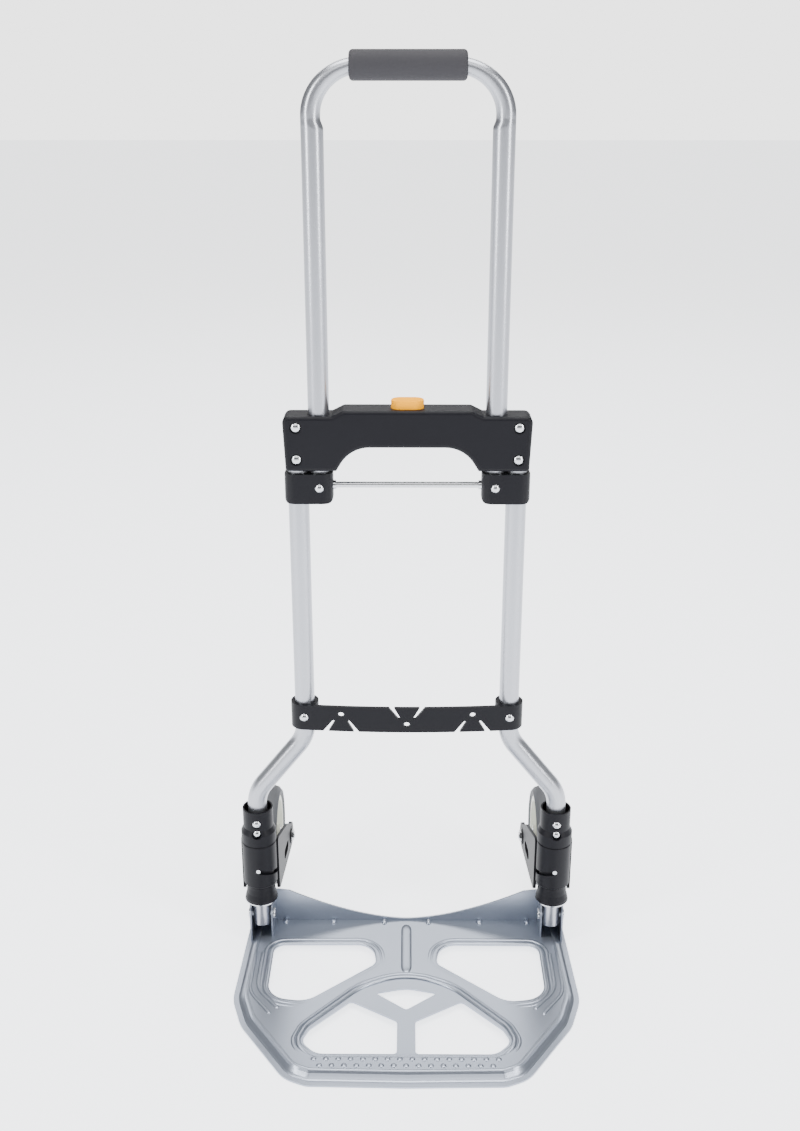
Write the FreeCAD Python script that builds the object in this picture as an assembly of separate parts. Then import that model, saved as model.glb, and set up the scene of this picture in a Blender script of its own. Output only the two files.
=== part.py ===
"""Folding hand truck, built piece by piece.  Millimetres, +Z up.

Every piece is modelled with the plane of the upright tubes at y = 0, the
truck's centre at x = 0 and the floor at z = 0.  Front is -Y, and the toe
plate lies there.  save() moves each piece back by the same amount, so that
the origin ends up under the middle of the truck's outline.
"""
import FreeCAD, Part

import math
import os

from FreeCAD import Rotation, Vector

os.makedirs("parts", exist_ok=True)

# ---------------------------------------------------------------- dimensions
# running and seating gaps
seat = 0.05          # a piece seated or riveted on another
slide = 0.3          # a plastic guide on a moving tube
running = 0.05       # a shaft in its bore, radially

# upright tubes
tube_r = 11.0
tube_wall = 1.2
frame_x = 115.0      # frame tube axis, from the truck's centre
tube_gap = 1.0       # between a frame tube and the handle leg beside it
wheel_x = 174.0      # wheel column axis, where the frame tube has stepped out
tube_foot = 22.0
step_low = 201.0     # the frame tube steps out between these heights
step_high = 275.0
step_bend_r = 42.0

# telescoping handle
handle_height = 984.0
handle_bend_r = 45.0
bar_r = 8.5          # the bar under the grip is slimmer than the legs
pinch_low = 926.0    # the legs slim down between here and the bend
grip_r = 14.0
grip_length = 112.0
grip_edge = 4.0
travel = 230.0       # how far the handle slides down

# crossbar housing
bar_bottom = 592.0
bar_end_top = 650.0
bar_mid_top = 656.0
bar_wall = 3.0       # outside each frame tube
bar_taper = 2.5
bar_depth = 36.0
bar_edge = 4.0
bar_top_r = 7.0
arch_z = 617.0
arch_wall = 7.0      # beside each handle leg
arch_slope = 15.4    # how far the arch leans in on the way up
arch_r = 35.0
shoulder_out = 78.0
shoulder_in = 66.0
rivet_zs = (638.5, 604.5)
bar_rivet = (5.4, 2.4)   # head radius and height
bar_rivet_deep = 1.5     # how far each head is let into the housing
bar_rivet_recess = 6.2
rivet_shank_r = 2.4
tube_top_gap = 5.0       # from the frame tube's top to the housing's

# release button and lock bolts
button_length = 34.0
button_width = 20.0
button_top = 665.0
button_travel = 6.0
button_edge = 1.2
flange_half = 24.0
flange_low = 643.0
flange_top = 649.7
cavity_end = 4.0     # solid between the cavity and the arch's foot line
cavity_y = 6.0
cavity_low = 621.0
leg_outer = 24.0
leg_tip = 2.0
leg_ramp = 8.0
leg_tip_z = 627.5
leg_half_y = 2.0
bolt_low = 629.0
bolt_high = 636.0
bolt_half_y = 4.5
bolt_inner = 9.0
bolt_r = 3.5
bolt_head_end = 36.0
bolt_tip_gap = 0.3
lock_spring = (2.6, 0.4, 6)   # coil radius, wire radius and turns

# slide collars at the foot of the handle
collar_bottom = 556.0
collar_height = 32.0
collar_floor = 4.0
collar_wall = 3.0
collar_depth = 31.0
collar_plan_r = 12.0
collar_foot_r = 5.0
collar_edge = 1.5
rod_z = 573.0
rod_r = 3.25
rod_nut_r = 5.0
rod_nut_width = 3.0
collar_rivet = (4.4, 2.0)

# strap for the elastic cord
strap_height = 30.0
strap_clear = 6.0        # under the slide collars once the handle is down
strap_thick = 4.5
strap_bow = 6.0
strap_group_x = 73.5     # centre of each outer group of slots
slot_mouth = (14.6, 21.0)
slot_tip = (6.4, 9.4)
slot_depth = 13.5
cord_hole_r = 3.3
cord_hole_in = 20.5      # from the slotted edge to the hole
strap_rivet = (4.8, 2.4)
blind_reach = 4.0        # how far a blind rivet goes into its tube

# column on each frame tube, from the top down
fixed_collar_z = (137.5, 181.0)
fixed_collar_r = tube_r + 6.5
fixed_flange_r = tube_r + 9.3
fixed_flange_top = 157.0
fixed_shoulder = 6.0     # height of the slope between the flange and the collar
funnel_low = 167.0
funnel_deep = 170.0
funnel_r = tube_r + 4.8
fixed_rivet_zs = (166.5, 153.5)
fixed_rivet_seat = 1.0   # how far each rivet is let into the collar
fixed_rivet = (4.8, 2.6)
fixed_rivet_recess = 5.4
hub_z = (80.0, 137.0)
hub_wall = 3.5           # outside the sleeve
hub_head = 6.5
sleeve_z = (57.0, 110.0)
sleeve_r = tube_r + 5.5
sleeve_flange_r = tube_r + 8.0
sleeve_flange = 3.0
sleeve_foot_r = tube_r + 6.2
sleeve_foot_z = (67.0, 74.0)
washer_r = tube_r + 8.5
washer_thick = 1.4
cam_pin_r = 2.5
cam_pin_z = 104.0
cam_pin_in = 0.4         # from the pin's end to the hub's face
guide_pin_r = 2.0
guide_pin_z = 72.0
spring_wire_r = 0.8
spring_turns = 4

# wheel fork
arm_thick = 3.5
arm_set_in = 1.5         # an arm's inner face, from the hub's outside
arm_splay = 3.6          # degrees
arm_front = 4.0
arm_low = 64.0
arm_top = 135.5
arm_bridge = 76.0        # lowest part of the web between the arms
axle_back = 97.0
axle_z = 80.0
axle_r = 4.0
boss_r = 16.5
boss_face = 17.0
inner_boss = 7.0         # wall of the boss inside each arm
bolt_head = (7.4, 4.0)   # radius and height
bolt_head_edge = 1.2
nut_r = 7.0              # to the corners
nut_thick = 4.5
bolt_past_nut = 1.0
head_recess = 8.2        # let into each arm round the bolt head and the nut
spacer_r = 7.5
hub_edge = 1.5
window_y = 58.0
window_half = 15.0
window_r = 6.5

# wheel
wheel_r = 62.5
tyre_half = 14.5
tyre_height = 13.0
rim_half = 12.5
rim_web = 3.0
rim_band = 6.0
hub_half = 14.0
hub_outer_r = 13.0
bearing_r = 9.0
bearing_width = 6.0

# toe plate and its hinge
plate_half = 196.0
plate_front = 250.0
sheet = 2.0
panel_top = 9.0
lip = 8.0
lip_slope = 6.0
pivot_z = 33.0
pin_r = 4.0
pin_head_r = 6.5
pin_head = 2.5
channel_gap = 0.75       # between the tube and each side wall
cam_rest = 22.0          # cam height over the pivot, plate down
cam_drop = 9.0           # how far the cam lets the sleeve down, plate folded
back_gap = 5.8           # between the tube and the channel's back wall
rear_low = 11.3
rear_high = 51.5
rear_end = 143.0
rear_power = 1.7
cam_shoulder = 1.5       # flat channel rim below the cam's top
pin_head_edge = 1.6

# ------------------------------------------------------------- worked values
handle_x = frame_x - 2 * tube_r - tube_gap
arch_half = handle_x - tube_r - arch_wall
arch_corner = arch_half - arch_slope
cavity_half = arch_half - cavity_end
bar_half = frame_x + tube_r + bar_wall
hub_r = sleeve_r + hub_wall
arm_in = hub_r - arm_set_in
rim_r = wheel_r - tyre_height
channel_in = tube_r + channel_gap
strap_low = collar_bottom - travel - strap_clear - strap_height
channel_out = channel_in + sheet
back_in = tube_r + back_gap
back_out = back_in + sheet
rear_face = back_out + sheet
cam_rate = cam_drop / (math.pi / 2)
cam_front = cam_rest - cam_drop
frame_y = (plate_front - axle_back - wheel_r) / 2
bolt_z = (bolt_low + bolt_high) / 2
strap_top = strap_low + strap_height
slide_x0 = handle_x - tube_r - collar_wall
slide_x1 = frame_x + tube_r + collar_wall
arm_tan = math.tan(math.radians(arm_splay))
arm_at_axle = arm_in + arm_thick + (axle_back - arm_front) * arm_tan

X = Vector(1, 0, 0)
Y = Vector(0, 1, 0)
Z = Vector(0, 0, 1)


# ------------------------------------------------------------------- helpers
def save(name, shape):
    """Write one piece, moved to the truck's origin."""
    shape = shape.copy()
    shape.translate(Vector(0, frame_y, 0))
    solids = shape.Solids
    if not solids or not shape.isValid():
        raise ValueError("bad piece: " + name)
    body = solids[0] if len(solids) == 1 else Part.makeCompound(solids)
    body.exportStep("parts/" + name + ".step")
    print(name, len(solids), round(shape.Volume))


def mirrored(shape):
    """The same piece on the other side of the truck."""
    return shape.mirror(Vector(0, 0, 0), X)


def pair(name, left):
    """A left piece and its mirror image, as two nodes."""
    save("left_" + name, left)
    save("right_" + name, mirrored(left))


def rod(r, start, end):
    """A round bar from one point to another."""
    start = Vector(*start)
    along = Vector(*end).sub(start)
    return Part.makeCylinder(r, along.Length, start, along)


def ring(outer, inner, z0, z1, x=0.0, y=0.0):
    """An upright tube between two heights."""
    wall = rod(outer, (x, y, z0), (x, y, z1))
    return wall.cut(rod(inner, (x, y, z0 - 1), (x, y, z1 + 1)))


def block(x0, x1, y0, y1, z0, z1):
    """A box between two corners."""
    return Part.makeBox(x1 - x0, y1 - y0, z1 - z0, Vector(x0, y0, z0))


def outline(points, radii):
    """A closed wire through the points, each corner rounded by its radius."""
    count = len(points)
    ends = []
    for i in range(count):
        here = points[i]
        back = points[i - 1].sub(here).normalize()
        ahead = points[(i + 1) % count].sub(here).normalize()
        half = back.getAngle(ahead) / 2
        reach = radii[i] / math.tan(half)
        middle = back.add(ahead)
        if radii[i] > 0:
            middle.normalize()
            centre = here.add(middle.multiply(radii[i] / math.sin(half)))
            inner = centre.add(here.sub(centre).normalize().multiply(radii[i]))
        else:
            inner = here
        first = here.add(back.multiply(reach))
        last = here.add(ahead.multiply(reach))
        ends.append((first, inner, last, radii[i] > 0))
    edges = []
    for i in range(count):
        first, inner, last, rounded = ends[i]
        if rounded:
            edges.append(Part.Arc(first, inner, last).toShape())
        after = ends[(i + 1) % count][0]
        if last.distanceToPoint(after) > 1e-6:
            edges.append(Part.LineSegment(last, after).toShape())
    return Part.Wire(edges)


def floor_prism(points, radii, z0, z1):
    """An outline in plan, carried up from z0 to z1."""
    wire = outline([Vector(x, y, z0) for x, y in points], radii)
    return Part.Face(wire).extrude(Vector(0, 0, z1 - z0))


def front_prism(points, radii, y0, y1):
    """An outline in x and z, carried from y0 to y1."""
    wire = outline([Vector(x, y0, z) for x, z in points], radii)
    return Part.Face(wire).extrude(Vector(0, y1 - y0, 0))


def side_prism(points, radii, x0, x1):
    """An outline in y and z, carried from x0 to x1."""
    wire = outline([Vector(x0, y, z) for y, z in points], radii)
    return Part.Face(wire).extrude(Vector(x1 - x0, 0, 0))


def symmetric(points):
    """Right-hand points from the top down, with their mirror images."""
    return points + [(-x, z) for x, z in reversed(points)]


def revolved(profile, base, axis):
    """(radius, height) corners turned about an axis through base."""
    side = Y if abs(axis.x) > 0.5 else X
    corners = [base + side * r + axis * h for r, h in profile]
    face = Part.Face(Part.makePolygon(corners + [corners[0]]))
    return face.revolve(base, axis, 360)


def rivet(x, z, y_seat, head_r, head_high, shank_r, y_end):
    """A domed rivet head on a face at y_seat, with its shank going to y_end."""
    out = -1 if y_end > y_seat else 1
    ball_r = (head_r ** 2 + head_high ** 2) / (2 * head_high)
    ball = Part.makeSphere(ball_r, Vector(x, y_seat - out * (ball_r - head_high), z))
    cap = rod(head_r, (x, y_seat, z), (x, y_seat + out * head_high, z))
    head = cap.common(ball)
    return head.fuse(rod(shank_r, (x, y_seat, z), (x, y_end, z)))


def swept_tube(path, r, wall):
    """A round tube along a wire that starts straight up."""
    start = path.OrderedVertexes[0].Point
    shapes = []
    for radius in (r, r - wall):
        circle = Part.Wire(Part.Circle(start, Z, radius).toShape())
        shapes.append(path.makePipeShell([circle], True, False))
    return shapes[0].cut(shapes[1])


def coil(r, wire_r, turns, start, axis, length):
    """A compression spring from start along axis."""
    pitch = (length - 2 * wire_r) / turns
    path = Part.makeHelix(pitch, length - 2 * wire_r, r)
    section = Part.Wire(Part.Circle(Vector(r, 0, 0), Y, wire_r).toShape())
    spring = Part.Wire(path.Edges).makePipeShell([section], True, True)
    spring.Placement = FreeCAD.Placement(start + axis * wire_r, Rotation(Z, axis))
    return spring


# ------------------------------------------------------------- upright tubes
left_bar_rivets = [(-frame_x, z) for z in rivet_zs]


def frame_tube():
    """Straight column, step inwards and long straight top, with its holes."""
    top = bar_end_top - tube_top_gap
    corners = [(-wheel_x, tube_foot), (-wheel_x, step_low),
               (-frame_x, step_high), (-frame_x, top)]
    points = [Vector(x, 0, z) for x, z in corners]
    turn = math.atan2(wheel_x - frame_x, step_high - step_low)
    reach = step_bend_r * math.tan(turn / 2)
    slope = points[2].sub(points[1]).normalize()
    low_in = points[1].sub(Z * reach)
    low_out = points[1].add(slope * reach)
    high_in = points[2].sub(slope * reach)
    high_out = points[2].add(Z * reach)
    low_mid = low_in + X * (step_bend_r * (1 - math.cos(turn / 2)))
    low_mid = low_mid + Z * (step_bend_r * math.sin(turn / 2))
    high_mid = high_out - X * (step_bend_r * (1 - math.cos(turn / 2)))
    high_mid = high_mid - Z * (step_bend_r * math.sin(turn / 2))
    path = Part.Wire([
        Part.LineSegment(points[0], low_in).toShape(),
        Part.Arc(low_in, low_mid, low_out).toShape(),
        Part.LineSegment(low_out, high_in).toShape(),
        Part.Arc(high_in, high_mid, high_out).toShape(),
        Part.LineSegment(high_out, points[3]).toShape(),
    ])
    tube = swept_tube(path, tube_r, tube_wall)
    reach_y = bar_depth
    holes = [rod(rivet_shank_r + seat, (x, -reach_y, z), (x, reach_y, z)) for x, z in left_bar_rivets]
    mid_strap = (strap_low + strap_top) / 2
    holes.append(rod(rivet_shank_r + seat, (-frame_x, -reach_y, mid_strap), (-frame_x, 0, mid_strap)))
    for z in fixed_rivet_zs:
        holes.append(rod(rivet_shank_r + seat, (-wheel_x, -reach_y, z), (-wheel_x, 0, z)))
    holes.append(rod(guide_pin_r + seat, (-wheel_x, 0, guide_pin_z), (-wheel_x, reach_y, guide_pin_z)))
    holes.append(rod(pin_r + running, (-wheel_x - reach_y, 0, pivot_z), (-wheel_x + reach_y, 0, pivot_z)))
    return tube.cut(holes)


def handle_skin(leg_r, top_r):
    """A solid in the handle's shape: full-size legs, slimmer bends and bar."""
    foot = collar_bottom + collar_floor
    bend_low = handle_height - handle_bend_r
    bar_half_x = handle_x - handle_bend_r
    leg = rod(leg_r, (-handle_x, 0, foot), (-handle_x, 0, pinch_low))
    cone = Part.makeCone(leg_r, top_r, bend_low - pinch_low, Vector(-handle_x, 0, pinch_low), Z)
    s = handle_bend_r * math.sin(math.pi / 4)
    path = Part.Wire([
        Part.Arc(Vector(-handle_x, 0, bend_low),
                 Vector(-bar_half_x - s, 0, bend_low + s),
                 Vector(-bar_half_x, 0, handle_height)).toShape(),
        Part.LineSegment(Vector(-bar_half_x, 0, handle_height),
                         Vector(0, 0, handle_height)).toShape(),
    ])
    circle = Part.Wire(Part.Circle(Vector(-handle_x, 0, bend_low), Z, top_r).toShape())
    bend = path.makePipeShell([circle], True, False)
    half = leg.fuse([cone, bend])
    return half.fuse(mirrored(half))


def handle_tube():
    """The hollow handle, with a rivet hole at the foot of each leg."""
    inside = handle_skin(tube_r - tube_wall, bar_r - tube_wall)
    tube = handle_skin(tube_r, bar_r).cut(inside)
    hole = rod(rivet_shank_r + seat, (-handle_x, -bar_depth, rod_z), (-handle_x, bar_depth, rod_z))
    return tube.cut([hole, mirrored(hole)]).removeSplitter()


def handle_grip():
    """Foam sleeve with rounded ends."""
    half = grip_length / 2
    foam = rod(grip_r, (-half, 0, handle_height), (half, 0, handle_height))
    foam = foam.makeFillet(grip_edge, [e for e in foam.Edges if len(e.Vertexes) == 1])
    return foam.cut(handle_skin(tube_r, bar_r))


# ------------------------------------------------- crossbar, button and bolts
def oval(length, width, z0, z1):
    """A rounded-end oval, long in x."""
    straight = (length - width) / 2
    middle = block(-straight, straight, -width / 2, width / 2, z0, z1)
    ends = [rod(width / 2, (s * straight, 0, z0), (s * straight, 0, z1)) for s in (-1, 1)]
    return middle.fuse(ends).removeSplitter()


def crossbar():
    """The whole housing, before it is split into its two shells."""
    right = [
        (shoulder_in, bar_mid_top), (shoulder_out, bar_end_top), (bar_half, bar_end_top),
        (bar_half - bar_taper, bar_bottom), (arch_half, bar_bottom), (arch_corner, arch_z),
    ]
    rounds = [6.0, 3.0, bar_top_r, 3.0, 1.0, arch_r]
    deep = bar_depth / 2
    body = front_prism(symmetric(right), rounds + rounds[::-1], -deep, deep)
    rims = [e for e in body.Edges if abs(abs(e.CenterOfMass.y) - deep) < 0.01]
    body = body.makeFillet(bar_edge, rims)
    cuts = [block(-cavity_half, cavity_half, -cavity_y, cavity_y, cavity_low, flange_top + slide)]
    pocket_low = flange_top - button_travel - 1.0
    cuts.append(oval(button_length + 2 * slide, button_width + 2 * slide, pocket_low, bar_mid_top + 1))
    for side in (-1, 1):
        x = side * frame_x
        cuts.append(rod(tube_r + seat, (x, 0, bar_bottom - 1), (x, 0, bar_end_top - tube_top_gap + seat)))
        x = side * handle_x
        cuts.append(rod(tube_r + slide, (x, 0, bar_bottom - 1), (x, 0, bar_mid_top + 1)))
        cuts.append(rod(bolt_r + slide, (side * cavity_half - side, 0, bolt_z), (x, 0, bolt_z)))
    for x, z in left_bar_rivets:
        for side in (-1, 1):
            cuts.append(rod(rivet_shank_r + seat, (side * x, -deep - 1, z), (side * x, deep + 1, z)))
            for face in (-1, 1):
                start = (side * x, face * (deep - bar_rivet_deep), z)
                cuts.append(rod(bar_rivet_recess, start, (side * x, face * (deep + 1), z)))
    return body.cut(cuts)


def crossbar_rivets():
    """Tubular rivets right through the housing and the frame tubes."""
    deep = bar_depth / 2 - bar_rivet_deep
    shapes = []
    for x, z in left_bar_rivets:
        front = rivet(x, z, -deep, *bar_rivet, rivet_shank_r, 0)
        rear = rivet(x, z, deep, *bar_rivet, rivet_shank_r, 0)
        shapes.append(front.fuse(rear).removeSplitter())
    left = Part.makeCompound(shapes)
    return Part.makeCompound([left, mirrored(left)])


def release_button():
    """Oval cap, a flange under it and two wedge-shaped legs."""
    cap = oval(button_length, button_width, flange_top, button_top)
    rims = [e for e in cap.Edges if e.CenterOfMass.z > button_top - 0.01]
    cap = cap.makeFillet(button_edge, rims)
    flange = block(-flange_half, flange_half, -cavity_y + slide, cavity_y - slide, flange_low, flange_top)
    shapes = [flange]
    ramp_in = leg_outer - leg_tip - leg_ramp
    for side in (-1, 1):
        points = [(side * leg_outer, flange_low + 1), (side * leg_outer, leg_tip_z),
                  (side * (leg_outer - leg_tip), leg_tip_z),
                  (side * ramp_in, leg_tip_z + leg_ramp), (side * ramp_in, flange_low + 1)]
        shapes.append(front_prism(points, [0] * 5, -leg_half_y, leg_half_y))
    return cap.fuse(shapes).removeSplitter()


def lock_bolt():
    """Square head with a window for the button's wedge, and a round bolt."""
    head = block(-bolt_head_end, -bolt_inner, -bolt_half_y, bolt_half_y, bolt_low, bolt_high)
    window_out = leg_outer + button_travel + 0.5
    gap = slide * math.sqrt(2)
    foot_in = leg_outer - leg_tip - (bolt_low - 1 - leg_tip_z) - gap
    top_in = leg_outer - leg_tip - (bolt_high + 1 - leg_tip_z) - gap
    points = [(-window_out, bolt_low - 1), (-foot_in, bolt_low - 1),
              (-top_in, bolt_high + 1), (-window_out, bolt_high + 1)]
    half = leg_half_y + slide
    head = head.cut(front_prism(points, [0] * 4, -half, half))
    tip = handle_x - tube_r - bolt_tip_gap
    shaft = rod(bolt_r, (-bolt_head_end + 1, 0, bolt_z), (-tip, 0, bolt_z))
    return head.fuse(shaft).removeSplitter()


# -------------------------------------------------------------- slide collar
def slide_collar():
    """Holds a handle leg fast and slides on the frame tube beside it."""
    low, high = collar_bottom, collar_bottom + collar_height
    deep = collar_depth / 2
    plan = [(-slide_x1, -deep), (-slide_x0, -deep), (-slide_x0, deep), (-slide_x1, deep)]
    face = [(-slide_x1, low), (-slide_x0, low), (-slide_x0, high), (-slide_x1, high)]
    body = floor_prism(plan, [collar_plan_r] * 4, low, high)
    rounds = [collar_foot_r, collar_foot_r, collar_edge, collar_edge]
    body = body.common(front_prism(face, rounds, -deep, deep))
    return body.cut([
        rod(tube_r + slide, (-frame_x, 0, low - 1), (-frame_x, 0, high + 1)),
        rod(tube_r + seat, (-handle_x, 0, low + collar_floor), (-handle_x, 0, high + 1)),
        rod(rivet_shank_r + seat, (-handle_x, -deep - 1, rod_z), (-handle_x, deep + 1, rod_z)),
        rod(rod_r + seat, (-slide_x0 - 1 - collar_wall, 0, rod_z), (-slide_x0 + 1, 0, rod_z)),
    ])


def slide_collar_rivets():
    """One rivet through each collar and handle leg."""
    deep = collar_depth / 2
    front = rivet(-handle_x, rod_z, -deep, *collar_rivet, rivet_shank_r, 0)
    rear = rivet(-handle_x, rod_z, deep, *collar_rivet, rivet_shank_r, 0)
    left = front.fuse(rear).removeSplitter()
    return Part.makeCompound([left, mirrored(left)])


def cross_rod_nuts():
    """A ferrule at each end of the cross rod."""
    shapes = []
    for side in (-1, 1):
        a = side * slide_x0
        b = side * (slide_x0 - rod_nut_width)
        nut = rod(rod_nut_r, (a, 0, rod_z), (b, 0, rod_z))
        shapes.append(nut.cut(rod(rod_r + seat, (a + side, 0, rod_z), (b - side, 0, rod_z))))
    return Part.makeCompound(shapes)


# ------------------------------------------------------------------ cord strap
def cord_strap():
    """A bowed strap between two clamps, with tabs cut into both edges."""
    clamp_r = tube_r + strap_thick
    face_y = -tube_r
    low, top = strap_low, strap_top

    def bowed(y, grow):
        ends = frame_x + grow
        a, b = Vector(-ends, y, low), Vector(ends, y, low)
        return Part.Arc(a, Vector(0, y - strap_bow, low), b).toShape()

    inner = bowed(face_y, 0.0)
    outer = bowed(face_y - strap_thick, 0.0)
    sides = [Part.LineSegment(Vector(s * frame_x, face_y, low),
                              Vector(s * frame_x, face_y - strap_thick, low)).toShape() for s in (-1, 1)]
    strap = Part.Face(Part.Wire(Part.sortEdges([inner, outer] + sides)[0])).extrude(Vector(0, 0, top - low))
    for side in (-1, 1):
        strap = strap.fuse(rod(clamp_r, (side * frame_x, 0, low), (side * frame_x, 0, top)))
    cuts = [rod(tube_r + seat, (s * frame_x, 0, low - 1), (s * frame_x, 0, top + 1)) for s in (-1, 1)]
    deep = -clamp_r - strap_bow - 5
    for x, edge, up in ((-strap_group_x, low, 1), (0, top, -1), (strap_group_x, low, 1)):
        for side in (-1, 1):
            points = [(x + side * slot_mouth[0], edge - up), (x + side * slot_mouth[1], edge - up),
                      (x + side * slot_tip[1], edge + up * slot_depth),
                      (x + side * slot_tip[0], edge + up * slot_depth)]
            cuts.append(front_prism(points, [0, 0, 1.0, 1.0], deep, 0))
        z = edge + up * cord_hole_in
        cuts.append(rod(cord_hole_r, (x, deep, z), (x, 0, z)))
    mid = (low + top) / 2
    for side in (-1, 1):
        cuts.append(rod(rivet_shank_r + seat, (side * frame_x, -clamp_r - 1, mid), (side * frame_x, 0, mid)))
    return strap.cut(cuts).removeSplitter()


def cord_strap_rivets(strap):
    """One blind rivet through each clamp into its tube."""
    mid = (strap_low + strap_top) / 2
    left = rivet(-frame_x, mid, -tube_r - strap_thick, *strap_rivet, rivet_shank_r, -tube_r + blind_reach)
    left = left.cut(strap)
    return Part.makeCompound([left, mirrored(left)])


# ----------------------------------------------------------------- the column
def turned(profile):
    """A turned piece standing on the left wheel column."""
    return revolved(profile, Vector(-wheel_x, 0, 0), Z)


def fixed_collar():
    """Funnel-mouthed collar riveted to the tube above the hub."""
    low, top = fixed_collar_z
    bore = tube_r + seat
    body = turned([
        (bore, low), (fixed_flange_r, low), (fixed_flange_r, fixed_flange_top - fixed_shoulder),
        (fixed_collar_r, fixed_flange_top), (fixed_collar_r, top), (funnel_r, top),
        (funnel_r, funnel_deep), (bore, funnel_low),
    ])
    cuts = [rod(rivet_shank_r + seat, (-wheel_x, -30, z), (-wheel_x, 0, z)) for z in fixed_rivet_zs]
    seat_y = -fixed_collar_r + fixed_rivet_seat
    for z in fixed_rivet_zs:
        cuts.append(rod(fixed_rivet_recess, (-wheel_x, -30, z), (-wheel_x, seat_y, z)))
    return body.cut(cuts)


def fixed_collar_rivets():
    """Two blind rivets in each fixed collar."""
    shapes = []
    for z in fixed_rivet_zs:
        seat_y = -fixed_collar_r + fixed_rivet_seat
        shapes.append(rivet(-wheel_x, z, seat_y, *fixed_rivet, rivet_shank_r, -tube_r + blind_reach))
    left = Part.makeCompound(shapes)
    return Part.makeCompound([left, mirrored(left)])


def guide_pins():
    """A pin in the back of each tube stops its sleeve turning."""
    left = rod(guide_pin_r, (-wheel_x, tube_r - 3, guide_pin_z), (-wheel_x, sleeve_r - 0.3, guide_pin_z))
    return Part.makeCompound([left, mirrored(left)])


def cam_sleeve():
    """Sleeve that rides on the toe plate's cams and turns the hub."""
    low, top = sleeve_z
    body = turned([
        (tube_r + running, low), (sleeve_flange_r, low), (sleeve_flange_r, low + sleeve_flange),
        (sleeve_foot_r, sleeve_foot_z[0]), (sleeve_r, sleeve_foot_z[1]), (sleeve_r, top),
        (tube_r + running, top),
    ])
    slot_w = guide_pin_r + slide
    slot = block(-wheel_x - slot_w, -wheel_x + slot_w, 0, hub_r, guide_pin_z, guide_pin_z + cam_drop)
    slot_ends = (guide_pin_z, guide_pin_z + cam_drop)
    ends = [rod(slot_w, (-wheel_x, 0, z), (-wheel_x, hub_r, z)) for z in slot_ends]
    pin_hole = rod(cam_pin_r + seat, (-wheel_x, -hub_r, cam_pin_z), (-wheel_x, 0, cam_pin_z))
    return body.cut([slot, pin_hole] + ends)


def wheel_fork():
    """Hub, helical slot, two splayed arms and the axle bosses."""
    low, top = hub_z
    bore = sleeve_r + slide
    outer = turned([(0, low), (hub_r - hub_edge, low), (hub_r, low + hub_edge), (hub_r, top - hub_edge),
                    (hub_r - hub_edge, top), (0, top)])
    outline_yz = [(arm_front, arm_low), (axle_back, axle_z - boss_r), (axle_back, axle_z + boss_r),
                  (axle_back - 24.0, arm_top - 24.0), (arm_front, arm_top)]
    axle_x = arm_at_axle - arm_thick / 2
    shapes = []
    for side in (-1, 1):
        inner = side * arm_in
        arm = side_prism(outline_yz, [5.0, 0, 0, 60.0, 4.0], inner, inner + side * arm_thick)
        arm = arm.fuse(rod(boss_r, (inner, axle_back, axle_z), (inner + side * arm_thick, axle_back, axle_z)))
        long_hole = block(inner - 9, inner + 9, window_y - window_half + window_r,
                          window_y + window_half - window_r, axle_z + 4 - window_r, axle_z + 4 + window_r)
        rounds = [rod(window_r, (inner - 9, y, axle_z + 4), (inner + 9, y, axle_z + 4))
                  for y in (window_y - window_half + window_r, window_y + window_half - window_r)]
        arm = arm.cut([long_hole] + rounds)
        arm.rotate(Vector(side * arm_in, arm_front, 0), Z, -side * arm_splay)
        arm.translate(Vector(-wheel_x, 0, 0))
        shapes.append(arm)
        boss = rod(axle_r + inner_boss, (-wheel_x + side * boss_face, axle_back, axle_z),
                   (-wheel_x + side * (arm_at_axle + 0.5), axle_back, axle_z))
        shapes.append(boss)
    half = arm_in + 1
    back = block(-wheel_x - half, -wheel_x + half, bore + 0.4, hub_r + 1.0, arm_bridge, low + 12)
    shapes.append(back)
    fork = outer.fuse(shapes).removeSplitter()
    cuts = [rod(bore, (-wheel_x, 0, arm_low - 1), (-wheel_x, 0, top - hub_head)),
            rod(tube_r + running, (-wheel_x, 0, low), (-wheel_x, 0, top + 1))]
    reach = wheel_x + hub_r + 40
    cuts.append(rod(axle_r + seat, (-reach, axle_back, axle_z), (-wheel_x + 60, axle_back, axle_z)))
    for side in (-1, 1):
        start = -wheel_x + side * (arm_at_axle - 1.0)
        cuts.append(rod(head_recess, (start, axle_back, axle_z), (start + side * 9, axle_back, axle_z)))
    steps = 24
    for i in range(steps + 1):
        angle = -math.pi / 2 + i / steps * math.pi / 2
        z = cam_pin_z - i / steps * cam_drop
        far = (-wheel_x + 24 * math.cos(angle), 24 * math.sin(angle), z)
        near = (-wheel_x + 14 * math.cos(angle), 14 * math.sin(angle), z)
        cuts.append(rod(cam_pin_r + slide, near, far))
    return fork.cut(cuts)


def fork_spring():
    """Presses the sleeve down from inside the hub."""
    low = sleeve_z[1] + seat
    high = hub_z[1] - hub_head - seat
    r = (tube_r + sleeve_r) / 2
    return coil(r, spring_wire_r, spring_turns, Vector(-wheel_x, 0, low), Z, high - low)


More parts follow.
